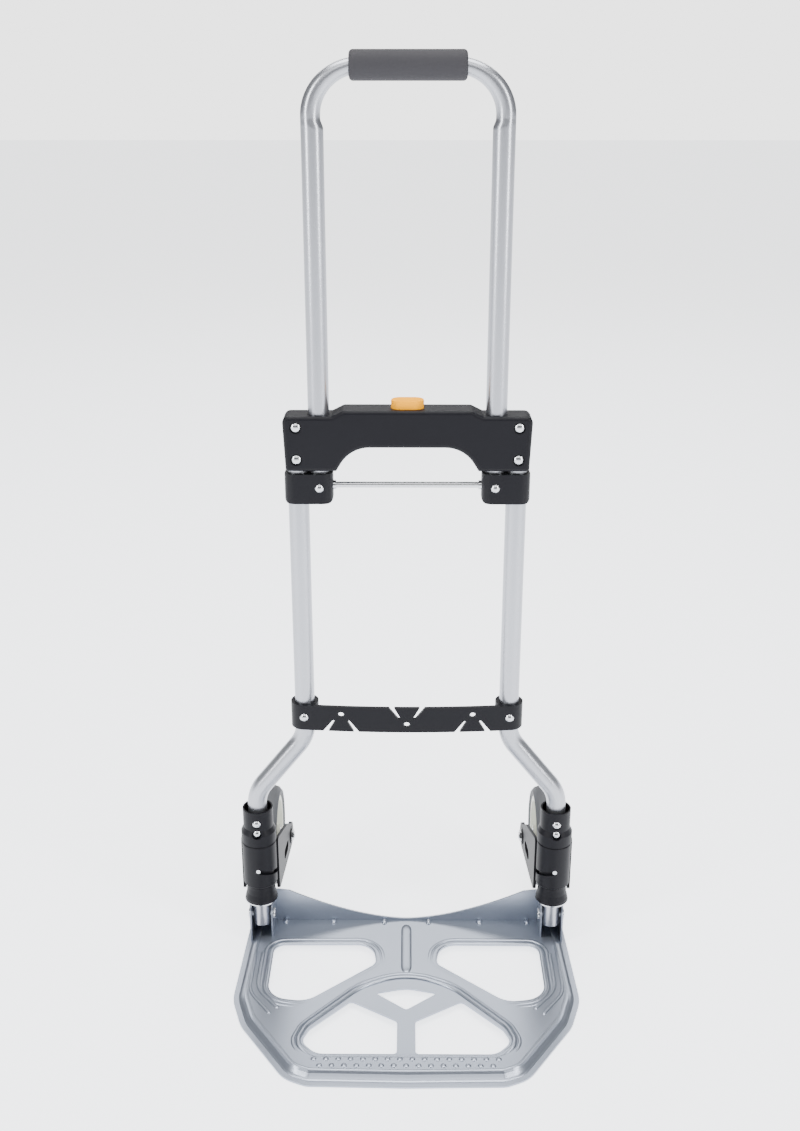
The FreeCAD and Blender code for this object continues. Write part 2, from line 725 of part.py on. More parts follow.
def axle_parts():
    """Bolt, nut and the two spacers beside the wheel."""
    seat_x = arm_at_axle - 1.0
    out = -wheel_x - seat_x
    inn = -wheel_x + seat_x
    head_r, head_high = bolt_head
    nut_end = inn + nut_thick
    bolt = rod(axle_r, (out, axle_back, axle_z), (nut_end + bolt_past_nut, axle_back, axle_z))
    head = rod(head_r, (out, axle_back, axle_z), (out - head_high, axle_back, axle_z))
    rims = [e for e in head.Edges if len(e.Vertexes) == 1 and e.CenterOfMass.x < out - head_high / 2]
    head = head.makeFillet(bolt_head_edge, rims)
    bolt = bolt.fuse(head).removeSplitter()
    corners = []
    for i in range(6):
        angle = math.radians(60 * i)
        corners.append(Vector(inn, axle_back + nut_r * math.cos(angle), axle_z + nut_r * math.sin(angle)))
    nut = Part.Face(Part.makePolygon(corners + [corners[0]])).extrude(Vector(nut_thick, 0, 0))
    nut = nut.cut(rod(axle_r + seat, (inn - 1, axle_back, axle_z), (nut_end + 1, axle_back, axle_z)))
    spacers = []
    for side in (-1, 1):
        a = -wheel_x + side * (hub_half + slide)
        b = -wheel_x + side * boss_face
        spacer = rod(spacer_r, (a, axle_back, axle_z), (b, axle_back, axle_z))
        spacers.append(spacer.cut(rod(axle_r + seat, (a - 9, axle_back, axle_z), (b + 9, axle_back, axle_z))))
    return bolt, nut, Part.makeCompound(spacers)


# ---------------------------------------------------------------------- wheel
def wheel_turned(profile):
    """A turned piece on the left axle: (radius, distance from mid-plane)."""
    return revolved(profile, Vector(-wheel_x, axle_back, axle_z), X)


def tyre():
    """Solid rubber tyre with a crowned tread."""
    t = tyre_half
    return wheel_turned([
        (rim_r, -rim_half), (rim_r + 4, -t), (wheel_r - 6, -t), (wheel_r - 2, -t + 3.5),
        (wheel_r, -t + 9), (wheel_r, t - 9), (wheel_r - 2, t - 3.5), (wheel_r - 6, t),
        (rim_r + 4, t), (rim_r, rim_half),
    ])


def rim():
    """Dished plastic rim with a hub for the bearings."""
    w = rim_half
    deep_r = rim_r - rim_band
    return wheel_turned([
        (bearing_r, -hub_half), (hub_outer_r, -hub_half), (hub_outer_r + 2, -rim_web),
        (deep_r - 2, -rim_web), (deep_r, -w), (rim_r, -w), (rim_r, w), (deep_r, w),
        (deep_r - 2, rim_web), (hub_outer_r + 2, rim_web), (hub_outer_r, hub_half), (bearing_r, hub_half),
    ])


def bearings():
    """A bearing pressed into each end of the rim's hub."""
    shapes = []
    for side in (-1, 1):
        a, b = side * hub_half, side * (hub_half - bearing_width)
        bore = axle_r + running
        shapes.append(wheel_turned([(bore, a), (bearing_r, a), (bearing_r, b), (bore, b)]))
    return Part.makeCompound(shapes)


# ------------------------------------------------------------------ toe plate
rear_opening = [(-157, -29), (-40, -28), (-35, -63), (-112, -128.5), (-157, -122)]
rear_rounds = [14, 22, 13, 30, 26]
centre_opening = [(-35, -114.5), (0, -106), (35, -114.5), (0, -142)]
centre_rounds = [2, 40, 2, 4]
front_opening = [(-62, -128), (-10, -160), (-10, -210), (-96, -210), (-113, -192), (-105, -173)]
front_rounds = [6, 5, 4, 20, 14, 14]


def plate_outline():
    """Half of the plate's outline, from the rear corner to the front."""
    left = [(-plate_half + 5, rear_face), (-plate_half, -118), (-plate_half + 14, -160),
            (-128, -plate_front + 12), (-104, -plate_front + 2)]
    full = left + [(0, -plate_front)] + [(-x, y) for x, y in reversed(left)]
    rounds = [4, 60, 60, 40, 20]
    return full, rounds + [60] + rounds[::-1]


def toe_plate():
    """Pressed pan: flat lip, sloped wall, raised panel, rear flange, openings."""
    points, rounds = plate_outline()
    edge = Part.Face(outline([Vector(x, y, 0) for x, y in points], rounds))

    def inset(distance, z):
        face = edge.makeOffset2D(-distance) if distance else edge.copy()
        face.translate(Vector(0, 0, z))
        return face.OuterWire

    top_inset = lip + lip_slope
    outer = Part.makeLoft([inset(lip, 0), inset(top_inset, panel_top)], True)
    inner = Part.makeLoft([inset(lip + sheet, -0.01), inset(top_inset + sheet, panel_top - sheet)], True)
    foot = edge.extrude(Vector(0, 0, sheet))
    foot = foot.cut(Part.Face(inset(lip + sheet, -1)).extrude(Vector(0, 0, sheet + 2)))
    pan = foot.fuse(outer.cut(inner))
    back = block(-plate_half + lip + lip_slope, plate_half - lip - lip_slope,
                 0, rear_face, panel_top - sheet, panel_top)
    crest = []
    steps = 8
    for i in range(-steps, steps + 1):
        x = rear_end * i / steps
        rise = (rear_high - rear_low) * (abs(i) / steps) ** rear_power
        crest.append(Vector(x, back_out, rear_low + rise))
    curve = Part.BSplineCurve()
    curve.interpolate(crest)
    wing = wheel_x + channel_out
    top = pivot_z + cam_rest - cam_shoulder
    corners = [crest[-1], Vector(wheel_x - channel_out, back_out, top), Vector(wing, back_out, top),
               Vector(wing, back_out, 0), Vector(-wing, back_out, 0), Vector(-wing, back_out, top),
               Vector(-wheel_x + channel_out, back_out, top), crest[0]]
    edges = [curve.toShape()]
    for a, b in zip(corners[:-1], corners[1:]):
        edges.append(Part.LineSegment(a, b).toShape())
    flange = Part.Face(Part.Wire(edges)).extrude(Vector(0, sheet, 0))
    plate = pan.fuse([back, flange])
    cuts = []
    for shape in ((rear_opening, rear_rounds), (front_opening, front_rounds)):
        hole = floor_prism(shape[0], shape[1], -5, 30)
        cuts += [hole, mirrored(hole)]
    cuts.append(floor_prism(centre_opening, centre_rounds, -5, 30))
    slot = block(-wheel_x - channel_out, -wheel_x + channel_out, -cam_front, back_out, -5, 100)
    cuts += [slot, mirrored(slot)]
    return plate.cut(cuts).removeSplitter()


def pivot_channel():
    """U-shaped bracket whose side walls carry the pivot and the cam."""
    steps = 10
    curve = []
    for i in range(steps + 1):
        a = math.pi / 2 * i / steps
        p = cam_rest - cam_rate * a
        y = -p * math.sin(a) + cam_rate * math.cos(a)
        z = p * math.cos(a) + cam_rate * math.sin(a)
        curve.append(Vector(0, y, pivot_z + z))
    cam = Part.BSplineCurve()
    cam.interpolate(curve)
    top = pivot_z + cam_rest - cam_shoulder
    corners = [curve[-1], Vector(0, -cam_front, 0), Vector(0, back_out, 0), Vector(0, back_out, top),
               Vector(0, back_out - sheet, top + cam_shoulder), curve[0]]
    edges = [cam.toShape()]
    for a, b in zip(corners[:-1], corners[1:]):
        edges.append(Part.LineSegment(a, b).toShape())
    wall = Part.Face(Part.Wire(edges)).extrude(Vector(sheet, 0, 0))
    shapes = []
    for x in (-channel_out, channel_in):
        side = wall.copy()
        side.translate(Vector(-wheel_x + x, 0, 0))
        shapes.append(side)
    left, right = -wheel_x - channel_out, -wheel_x + channel_out
    shapes.append(block(left, right, back_in, back_out, 0, top))
    shapes.append(block(left, right, -cam_front, back_out, 0, sheet))
    body = shapes[0].fuse(shapes[1:])
    hole = rod(pin_r + seat, (left - 1, 0, pivot_z), (right + 1, 0, pivot_z))
    return body.cut(hole).removeSplitter()


def pivot_pin():
    """Rivet that the tube foot turns on."""
    left, right = -wheel_x - channel_out, -wheel_x + channel_out
    shank = rod(pin_r, (left, 0, pivot_z), (right, 0, pivot_z))
    heads = []
    for x, out in ((left, -1), (right, 1)):
        head = rod(pin_head_r, (x, 0, pivot_z), (x + out * pin_head, 0, pivot_z))
        far = [e for e in head.Edges if len(e.Vertexes) == 1 and abs(e.CenterOfMass.x - x) > pin_head / 2]
        heads.append(head.makeFillet(pin_head_edge, far))
    return shank.fuse(heads).removeSplitter()


# ------------------------------------------------------------- write the nodes
pair("frame_tube", frame_tube())
housing = crossbar()
big = 400.0
save("crossbar_front_shell", housing.common(block(-big, big, -big, 0, 0, 2 * big)))
save("crossbar_rear_shell", housing.common(block(-big, big, 0, big, 0, 2 * big)))
save("crossbar_rivets", crossbar_rivets())
strap = cord_strap()
save("cord_strap", strap)
save("cord_strap_rivets", cord_strap_rivets(strap))
pair("fixed_collar", fixed_collar())
save("fixed_collar_rivets", fixed_collar_rivets())
save("sleeve_guide_pins", guide_pins())
pair("fork_spring", fork_spring())
spring_gap = bolt_inner - seat
save("lock_spring", coil(*lock_spring, Vector(-spring_gap, 0, bolt_z), X, 2 * spring_gap))

save("handle_tube", handle_tube())
save("handle_grip", handle_grip())
pair("slide_collar", slide_collar())
save("slide_collar_rivets", slide_collar_rivets())
rod_end = slide_x0 + collar_wall - 0.5
save("cross_rod", rod(rod_r, (-rod_end, 0, rod_z), (rod_end, 0, rod_z)))
save("cross_rod_nuts", cross_rod_nuts())

save("release_button", release_button())
pair("lock_bolt", lock_bolt())

save("toe_plate", toe_plate())
pair("pivot_channel", pivot_channel())
pair("pivot_pin", pivot_pin())

pair("cam_sleeve", cam_sleeve())
washer_top = sleeve_z[0]
pair("cam_washer", ring(washer_r, tube_r + slide, washer_top - washer_thick, washer_top, -wheel_x))
pin_out = hub_r - cam_pin_in
pair("cam_pin", rod(cam_pin_r, (-wheel_x, -tube_r - 1, cam_pin_z), (-wheel_x, -pin_out, cam_pin_z)))

pair("wheel_fork", wheel_fork())
bolt, nut, spacers = axle_parts()
pair("axle_bolt", bolt)
pair("axle_nut", nut)
pair("axle_spacers", spacers)
pair("tyre", tyre())
pair("rim", rim())
pair("bearings", bearings())
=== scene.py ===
"""Looks for the folding hand truck: pressed detail, finishes, light and camera.

Metres, +Z up, front is -Y.  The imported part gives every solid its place, and
the pieces made here sit on it.
"""

import math

import bpy
import numpy as np
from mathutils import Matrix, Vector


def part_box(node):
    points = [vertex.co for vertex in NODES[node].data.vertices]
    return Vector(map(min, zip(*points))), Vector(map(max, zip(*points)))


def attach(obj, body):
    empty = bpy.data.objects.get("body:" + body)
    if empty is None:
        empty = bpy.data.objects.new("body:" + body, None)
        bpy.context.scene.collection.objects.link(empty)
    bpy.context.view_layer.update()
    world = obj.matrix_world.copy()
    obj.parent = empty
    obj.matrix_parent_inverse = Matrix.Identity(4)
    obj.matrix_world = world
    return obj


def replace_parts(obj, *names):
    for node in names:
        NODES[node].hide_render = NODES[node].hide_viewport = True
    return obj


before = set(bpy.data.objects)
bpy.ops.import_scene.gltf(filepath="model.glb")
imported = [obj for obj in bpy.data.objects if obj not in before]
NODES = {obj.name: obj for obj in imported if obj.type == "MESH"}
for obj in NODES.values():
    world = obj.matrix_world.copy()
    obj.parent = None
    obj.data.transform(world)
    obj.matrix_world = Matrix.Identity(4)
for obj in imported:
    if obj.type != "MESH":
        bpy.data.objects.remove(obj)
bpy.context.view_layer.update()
MM = 0.001

# ---------------------------------------------------------------- dimensions
TUBE_LOW, TUBE_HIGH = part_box("left_frame_tube")
TUBE_Y = (TUBE_LOW.y + TUBE_HIGH.y) / 2      # plane of the upright tubes
PANEL_TOP = 9.0 * MM                         # top of the toe plate's raised panel
BURY = 0.4 * MM                              # how deep a bead's foot sits in the sheet

# the openings of the toe plate, from the tubes' plane, in millimetres
REAR_OPENING = [(-157, -29), (-40, -28), (-35, -63), (-112, -128.5), (-157, -122)]
REAR_ROUNDS = [14, 22, 13, 30, 26]
FRONT_GROUP = [(-52, -104), (0, -80), (52, -104), (110, -168), (119, -194), (99, -213.5),
               (-99, -213.5), (-119, -194), (-110, -168)]
FRONT_ROUNDS = [70, 70, 70, 30, 18, 22, 22, 18, 30]

# the handle's tube, in millimetres
HANDLE_LOW, HANDLE_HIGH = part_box("handle_tube")
LEG_R = 11.0
LEG_X = HANDLE_HIGH.x / MM - LEG_R
BEND_R = 9.6
BAR_R = 7.7
BAR_DEEP = 8.6
HANDLE_TOP_Z = HANDLE_HIGH.z / MM - 8.5
LEG_FOOT_Z = HANDLE_LOW.z / MM
BEND_RUN = 49.0
BEND_RISE = 45.0

PLATE_LEFT = [(-191, 14), (-196, -118), (-182, -160), (-128, -238), (-104, -248)]
PLATE_EDGE = PLATE_LEFT + [(0, -250)] + [(-x, y) for x, y in reversed(PLATE_LEFT)]
PLATE_ROUNDS = [0, 60, 60, 40, 20, 60, 20, 40, 60, 60, 0]
WALL_REACH = (6.0, 17.0)     # from the plate's edge, in millimetres
WALL_RISE = (2.15, 9.35)
WALL_SKIN = 0.7

BEAD_WIDTH = 6.4 * MM
BEAD_HEIGHT = 2.8 * MM
OUTER_BEAD_WIDTH = 4.4 * MM
OUTER_BEAD_HEIGHT = 1.6 * MM
LOW_BEAD = 1.2 * MM          # the folded forks pass close over these beads and ribs
REAR_BEADS = ((3.6, BEAD_WIDTH), (9.4, OUTER_BEAD_WIDTH))     # outside each opening
FRONT_BEADS = ((0.0, BEAD_WIDTH, BEAD_HEIGHT), (5.6, OUTER_BEAD_WIDTH, OUTER_BEAD_HEIGHT))
RIB_WIDTH = 4.5 * MM
RIB_HEIGHT = 1.5 * MM
CENTRE_RIB = (13 * MM, 2.4 * MM)     # width and height
DIMPLE_R = 3.3 * MM
DIMPLE_HEIGHT = 1.7 * MM
DIMPLE_PITCH = 13.0
DART_R = 3.5 * MM
DART_X = (27.0, 89.0, 147.5)         # and the same on the other side


# ------------------------------------------------------------------- helpers
def rounded_path(points, radii, step=2.0, closed=True):
    """Straight runs joined by arcs: each corner is cut back by r / tan(half its
    angle) and filled with the circle of radius r that touches both runs."""
    pts = np.array(points, float)
    rows = []
    count = len(pts)
    for i in range(count):
        here = pts[i]
        r = radii[i]
        at_end = not closed and i in (0, count - 1)
        if r == 0 or at_end:
            rows.append(here[None])
            continue
        back = pts[i - 1] - here
        ahead = pts[(i + 1) % count] - here
        back /= np.linalg.norm(back)
        ahead /= np.linalg.norm(ahead)
        half = np.arccos(np.clip(back @ ahead, -1, 1)) / 2
        middle = (back + ahead) / np.linalg.norm(back + ahead)
        centre = here + middle * r / np.sin(half)
        first = here + back * r / np.tan(half) - centre
        last = here + ahead * r / np.tan(half) - centre
        turn = np.arctan2(first[0] * last[1] - first[1] * last[0], first @ last)
        n = max(4, int(abs(turn) * r / step) + 1)
        a = np.linspace(0, turn, n)[:, None]
        rows.append(centre + first * np.cos(a) + np.array([-first[1], first[0]]) * np.sin(a))
    line = np.vstack(rows)
    if closed:
        line = np.vstack([line, line[:1]])
    gaps = np.linalg.norm(np.diff(line, axis=0), axis=1)
    keep = np.r_[True, gaps > 1e-6]
    line = line[keep]
    along = np.r_[0, np.cumsum(np.linalg.norm(np.diff(line, axis=0), axis=1))]
    n = max(8, int(along[-1] / step))
    spots = np.linspace(0, along[-1], n + 1)
    if closed:
        spots = spots[:-1]
    return np.column_stack([np.interp(spots, along, line[:, k]) for k in (0, 1)])


def plan_to_row(line):
    """Millimetres from the tubes' plane to metres in the row frame."""
    return line * MM + np.array([0, TUBE_Y])


def grid_faces(rows, cols, wrap_rows=False, wrap_cols=False):
    """Quads between neighbours on a grid of rows by cols points."""
    i = np.arange(rows if wrap_rows else rows - 1)[:, None]
    j = np.arange(cols if wrap_cols else cols - 1)[None, :]
    i2, j2 = (i + 1) % rows, (j + 1) % cols
    return np.stack([i * cols + j, i * cols + j2, i2 * cols + j2, i2 * cols + j], -1).reshape(-1, 4)


def facing_out(points, faces):
    """The faces, turned over if the closed shape they make holds a negative
    volume: the sum over fans of a . (b x c) / 6."""
    points = np.asarray(points, float)
    corners = np.array([[f[0], f[k], f[k + 1]] for f in faces for k in range(1, len(f) - 1)])
    a, b, c = points[corners[:, 0]], points[corners[:, 1]], points[corners[:, 2]]
    volume = np.einsum("ij,ij->i", a, np.cross(b, c)).sum()
    return faces if volume > 0 else [list(f)[::-1] for f in faces]


def add_piece(name, points, faces, body, slot_name):
    """A mesh object at the origin that rides on a body of the truck."""
    faces = facing_out(points, faces)
    mesh = bpy.data.meshes.new(name)
    mesh.from_pydata(np.asarray(points, float).tolist(), [], [list(f) for f in faces])
    mesh.polygons.foreach_set("use_smooth", np.full(len(mesh.polygons), True))
    mesh.update()
    obj = bpy.data.objects.new(name, mesh)
    bpy.context.scene.collection.objects.link(obj)
    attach(obj, body)
    mesh.materials.append(FINISHES[slot_name])
    return obj


def smooth_share(value, low, high):
    """0 below low, 1 above high, and 3u^2 - 2u^3 between."""
    u = np.clip((value - low) / (high - low), 0, 1)
    return u * u * (3 - 2 * u)


def bent_handle():
    """The handle's tube: rings carried up a leg, round a bend and along the bar.
    The ring is an ellipse.  Its width drops a little where the leg ends, and
    again round the bend as 3u^2 - 2u^3 of the turn, always on the inner side,
    so the outer line runs on unbroken."""
    bend_z = HANDLE_TOP_Z - BEND_RISE
    leg_z = np.concatenate([np.linspace(LEG_FOOT_Z, bend_z - 20, 12),
                            np.linspace(bend_z - 19, bend_z, 24)])
    turn = np.linspace(0, math.pi / 2, 32)[1:]
    leg_r = LEG_R - (LEG_R - BEND_R) * smooth_share(leg_z, bend_z - 12, bend_z - 2)
    turn_r = BEND_R - (BEND_R - BAR_R) * smooth_share(turn, 0, math.pi / 2)
    start_x = LEG_X + LEG_R - BEND_R
    turn_x = start_x - BEND_RUN * (1 - np.cos(turn))
    bar_x = np.linspace(turn_x[-1], 0, 10)[1:]
    half = np.column_stack([
        -np.concatenate([LEG_X + LEG_R - leg_r, turn_x, bar_x]),
        np.concatenate([leg_z, bend_z + BEND_RISE * np.sin(turn),
                        np.full(bar_x.size, HANDLE_TOP_Z)])])
    radius = np.concatenate([leg_r, turn_r, np.full(bar_x.size, BAR_R)])
    line = np.vstack([half, half[-2::-1] * np.array([-1, 1])])
    radius = np.concatenate([radius, radius[-2::-1]])[:, None]
    ahead = np.gradient(line, axis=0)
    legs = np.r_[0:leg_z.size, len(line) - leg_z.size:len(line)]
    ahead[legs, 0] = 0
    ahead /= np.linalg.norm(ahead, axis=1)[:, None]
    out = np.column_stack([-ahead[:, 1], ahead[:, 0]])
    t = np.linspace(0, 2 * math.pi, 48, endpoint=False)[None, :]
    deep = BAR_DEEP + (LEG_R - BAR_DEEP) * smooth_share(radius, BAR_R, LEG_R)
    spots = np.empty((len(line), t.size, 3))
    spots[:, :, 0] = (line[:, :1] + out[:, :1] * radius * np.cos(t)) * MM
    spots[:, :, 1] = TUBE_Y + deep * np.sin(t) * MM
    spots[:, :, 2] = (line[:, 1:] + out[:, 1:] * radius * np.cos(t)) * MM
    cols = t.size
    faces = grid_faces(len(line), cols, wrap_cols=True).tolist()
    faces.append(list(reversed(range(cols))))
    faces.append([(len(line) - 1) * cols + c for c in range(cols)])
    return spots.reshape(-1, 3), faces


def bead(line, width, height, closed, strength=None):
    """A half-ellipse carried along a plan line: across = width/2 * cos t, up =
    height * sin t, for t from 0 to pi.  Open ends sink to nothing over one
    width, and strength scales the height from place to place."""
    line = np.asarray(line, float)
    count = len(line)
    if closed:
        ahead = np.roll(line, -1, 0) - np.roll(line, 1, 0)
    else:
        ahead = np.gradient(line, axis=0)
    ahead /= np.linalg.norm(ahead, axis=1)[:, None]
    side = np.column_stack([-ahead[:, 1], ahead[:, 0]])
    scale = np.ones(count) if strength is None else np.asarray(strength, float)
    taper = np.ones(count)
    if not closed:
        along = np.r_[0, np.cumsum(np.linalg.norm(np.diff(line, axis=0), axis=1))]
        reach = np.minimum(along, along[-1] - along) / width
        taper = np.sqrt(1 - (1 - np.clip(reach, 0, 1)) ** 2)
    t = np.linspace(0, math.pi, 9)[None, :]
    across = (width / 2) * np.cos(t) * np.maximum(taper, 0.02)[:, None]
    up = height * np.sin(t) * (scale * taper)[:, None]
    spots = np.empty((count, t.size + 1, 3))
    spots[:, :-1, 0] = line[:, :1] + side[:, :1] * across
    spots[:, :-1, 1] = line[:, 1:] + side[:, 1:] * across
    spots[:, :-1, 2] = PANEL_TOP - BURY + up
    spots[:, -1, 0] = line[:, 0]
    spots[:, -1, 1] = line[:, 1]
    spots[:, -1, 2] = PANEL_TOP - 2 * BURY
    cols = t.size + 1
    faces = grid_faces(count, cols, wrap_rows=closed, wrap_cols=True)[:, ::-1].tolist()
    if not closed:
        faces.append(list(range(cols)))
        faces.append([(count - 1) * cols + c for c in reversed(range(cols))])
    return spots.reshape(-1, 3), faces


def domes(centres, radius, height, stretch=1.0):
    """Round bumps: at polar angle a from the top, reach = radius * sin a and
    rise = height * cos a, closed underneath by a fan."""
    a = np.linspace(0.0, math.pi / 2, 6)[1:, None]
    t = np.linspace(0, 2 * math.pi, 16, endpoint=False)[None, :]
    ring = np.stack([radius * np.sin(a) * np.cos(t), stretch * radius * np.sin(a) * np.sin(t),
                     height * np.cos(a) + 0 * t - BURY], -1)
    rings, around = a.size, t.size
    local = np.vstack([[[0, 0, height - BURY]], ring.reshape(-1, 3), [[0, 0, -2 * BURY]]])
    top = [[0, 1 + j, 1 + (j + 1) % around] for j in range(around)]
    last = 1 + (rings - 1) * around
    bottom = [[last + around, last + (j + 1) % around, last + j] for j in range(around)]
    quads = (grid_faces(rings, around, wrap_cols=True)[:, ::-1] + 1).tolist()
    shape = top + quads + bottom
    faces, points = [], []
    for k, (x, y) in enumerate(centres):
        points.append(local + np.array([x, y, PANEL_TOP]))
        faces += [[i + k * len(local) for i in f] for f in shape]
    return np.vstack(points), faces


def joined(parts):
    """Several (points, faces) as one."""
    points, faces, start = [], [], 0
    for p, f in parts:
        points.append(p)
        faces += [[i + start for i in face] for face in f]
        start += len(p)
    return np.vstack(points), faces


def mirror_plan(line):
    """The same plan line on the other side, run the other way."""
    return np.asarray(line)[::-1] * np.array([-1, 1])


# ----------------------------------------------------------- finishes: groups
def new_group(name, inputs, outputs):
    """An empty shader group with float or colour sockets."""
    tree = bpy.data.node_groups.new(name, "ShaderNodeTree")
    kinds = {"value": "NodeSocketFloat", "colour": "NodeSocketColor"}
    for label, kind, value in inputs:
        socket = tree.interface.new_socket(label, in_out="INPUT", socket_type=kinds[kind])
        socket.default_value = value
    for label, kind in outputs:
        tree.interface.new_socket(label, in_out="OUTPUT", socket_type=kinds[kind])
    return tree, tree.nodes.new("NodeGroupInput"), tree.nodes.new("NodeGroupOutput")


def grain_group():
    """Fine grain: a roughness that wavers between Low and High, and a height."""
    tree, given, made = new_group(
        "surface_grain",
        [("Scale", "value", 400.0), ("Low", "value", 0.4), ("High", "value", 0.5)],
        [("Roughness", "value"), ("Height", "value")])
    coords = tree.nodes.new("ShaderNodeTexCoord")
    noise = tree.nodes.new("ShaderNodeTexNoise")
    spread = tree.nodes.new("ShaderNodeMapRange")
    link = tree.links.new
    link(coords.outputs["Object"], noise.inputs["Vector"])
    link(given.outputs["Scale"], noise.inputs["Scale"])
    link(noise.outputs["Fac"], spread.inputs["Value"])
    spread.inputs["From Min"].default_value = 0.3
    spread.inputs["From Max"].default_value = 0.7
    link(given.outputs["Low"], spread.inputs["To Min"])
    link(given.outputs["High"], spread.inputs["To Max"])
    link(spread.outputs["Result"], made.inputs["Roughness"])
    link(noise.outputs["Fac"], made.inputs["Height"])
    return tree


def drift_group():
    """Slow drift between two close colours, as a coat or moulding has."""
    tree, given, made = new_group(
        "colour_drift",
        [("Colour", "colour", (0.5, 0.5, 0.5, 1)), ("Other Colour", "colour", (0.6, 0.6, 0.6, 1)),
         ("Scale", "value", 12.0)],
        [("Colour", "colour")])
    coords = tree.nodes.new("ShaderNodeTexCoord")
    noise = tree.nodes.new("ShaderNodeTexNoise")
    mix = tree.nodes.new("ShaderNodeMix")
    mix.data_type = "RGBA"
    link = tree.links.new
    link(coords.outputs["Object"], noise.inputs["Vector"])
    link(given.outputs["Scale"], noise.inputs["Scale"])
    link(noise.outputs["Fac"], mix.inputs[0])
    link(given.outputs["Colour"], mix.inputs[6])
    link(given.outputs["Other Colour"], mix.inputs[7])
    link(mix.outputs[2], made.inputs["Colour"])
    return tree


GRAIN = grain_group()
DRIFT = drift_group()
DRIFT_SCALE = 12.0
GRAIN_DEPTH = 0.2 * MM


def finish_material(name, colour, other, rough, grain, bump, metallic=0.0, level=0.5):
    """A finish from the two shared groups and one Principled shader."""
    material = bpy.data.materials.new(name)
    material.use_nodes = True
    tree = material.node_tree
    shader = tree.nodes["Principled BSDF"]
    shader.inputs["Metallic"].default_value = metallic
    shader.inputs["Specular IOR Level"].default_value = level
    surface = tree.nodes.new("ShaderNodeGroup")
    surface.node_tree = GRAIN
    surface.inputs["Scale"].default_value = grain
    surface.inputs["Low"].default_value = rough[0]
    surface.inputs["High"].default_value = rough[1]
    tint = tree.nodes.new("ShaderNodeGroup")
    tint.node_tree = DRIFT
    tint.inputs["Colour"].default_value = (*colour, 1)
    tint.inputs["Other Colour"].default_value = (*other, 1)
    tint.inputs["Scale"].default_value = DRIFT_SCALE
    relief = tree.nodes.new("ShaderNodeBump")
    relief.inputs["Strength"].default_value = bump
    relief.inputs["Distance"].default_value = GRAIN_DEPTH
    tree.links.new(surface.outputs["Roughness"], shader.inputs["Roughness"])
    tree.links.new(surface.outputs["Height"], relief.inputs["Height"])
    tree.links.new(relief.outputs["Normal"], shader.inputs["Normal"])
    tree.links.new(tint.outputs["Colour"], shader.inputs["Base Color"])
    return material


FINISHES = {
    "tube_metal": finish_material(
        "painted_silver_tube", (0.34, 0.35, 0.38), (0.37, 0.38, 0.41),
        (0.27, 0.32), 900, 0.06, metallic=0.9),
    "plate_metal": finish_material(
        "painted_silver_plate", (0.29, 0.32, 0.38), (0.32, 0.35, 0.41),
        (0.28, 0.33), 900, 0.06, metallic=0.85),
    "black_plastic": finish_material(
        "moulded_black_plastic", (0.004, 0.004, 0.006), (0.006, 0.006, 0.008),
        (0.40, 0.52), 1500, 0.15, level=0.13),
    "tyre_rubber": finish_material(
        "grey_tyre_rubber", (0.055, 0.058, 0.064), (0.065, 0.068, 0.074),
        (0.6, 0.72), 1200, 0.2),
    "rim_plastic": finish_material(
        "pale_rim_plastic", (0.55, 0.56, 0.47), (0.60, 0.61, 0.53),
        (0.40, 0.5), 800, 0.08),
    "grip_foam": finish_material(
        "dark_grip_foam", (0.022, 0.021, 0.025), (0.028, 0.027, 0.030),
        (0.75, 0.9), 1800, 0.5, level=0.35),
    "button_plastic": finish_material(
        "yellow_button_plastic", (0.90, 0.36, 0.0), (0.92, 0.38, 0.0),
        (0.55, 0.65), 900, 0.05, level=0.03),
    "bright_steel": finish_material(
        "bright_plated_steel", (0.50, 0.51, 0.53), (0.56, 0.57, 0.59),
        (0.16, 0.26), 700, 0.04, metallic=1.0),
    "spring_steel": finish_material(
        "oiled_spring_steel", (0.35, 0.36, 0.38), (0.42, 0.43, 0.45),
        (0.28, 0.36), 700, 0.04, metallic=1.0),
}


def slot_of(name):
    """The material slot of a CAD node, read from what the node is."""
    if "frame_tube" in name or name == "handle_tube":
        return "tube_metal"
    if name == "toe_plate" or "pivot_channel" in name:
        return "plate_metal"
    if "tyre" in name:
        return "tyre_rubber"
    if name.endswith("_rim"):
        return "rim_plastic"
    if name == "handle_grip":
        return "grip_foam"
    if name == "release_button":
        return "button_plastic"
    if "spring" in name:
        return "spring_steel"
    steel = ("rivet", "_pin", "rod", "bolt", "nut", "spacers", "bearings", "washer")
    if any(word in name for word in steel):
        return "bright_steel"
    return "black_plastic"


def dress_nodes():
    """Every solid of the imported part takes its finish."""
    for name, obj in NODES.items():
        material = FINISHES[slot_of(name)]
        obj.data.materials.clear()
        obj.data.materials.append(material)


# ------------------------------------------------------- toe plate, pressings
def beside(line, distance):
    """A closed plan line moved sideways along its own normals."""
    ahead = np.roll(line, -1, 0) - np.roll(line, 1, 0)
    ahead /= np.linalg.norm(ahead, axis=1)[:, None]
    return line + distance * np.column_stack([-ahead[:, 1], ahead[:, 0]])


def opening_bead():
    """Two nested beads round each rear opening, full height along the back and
    the outer side, and low along the slanted front."""
    parts = []
    inner = rounded_path(REAR_OPENING, REAR_ROUNDS)
    for distance, width in REAR_BEADS:
        line = beside(inner, distance)
        slant = (line[:, 0] + 157) * 0.75 - (line[:, 1] + 70)
        strength = np.interp(slant, [60, 100], [1.0, 0.25])
        row = plan_to_row(line)
        parts.append(bead(row, width, LOW_BEAD, True, strength))
        parts.append(bead(mirror_plan(row), width, LOW_BEAD, True, strength[::-1]))
    return joined(parts)


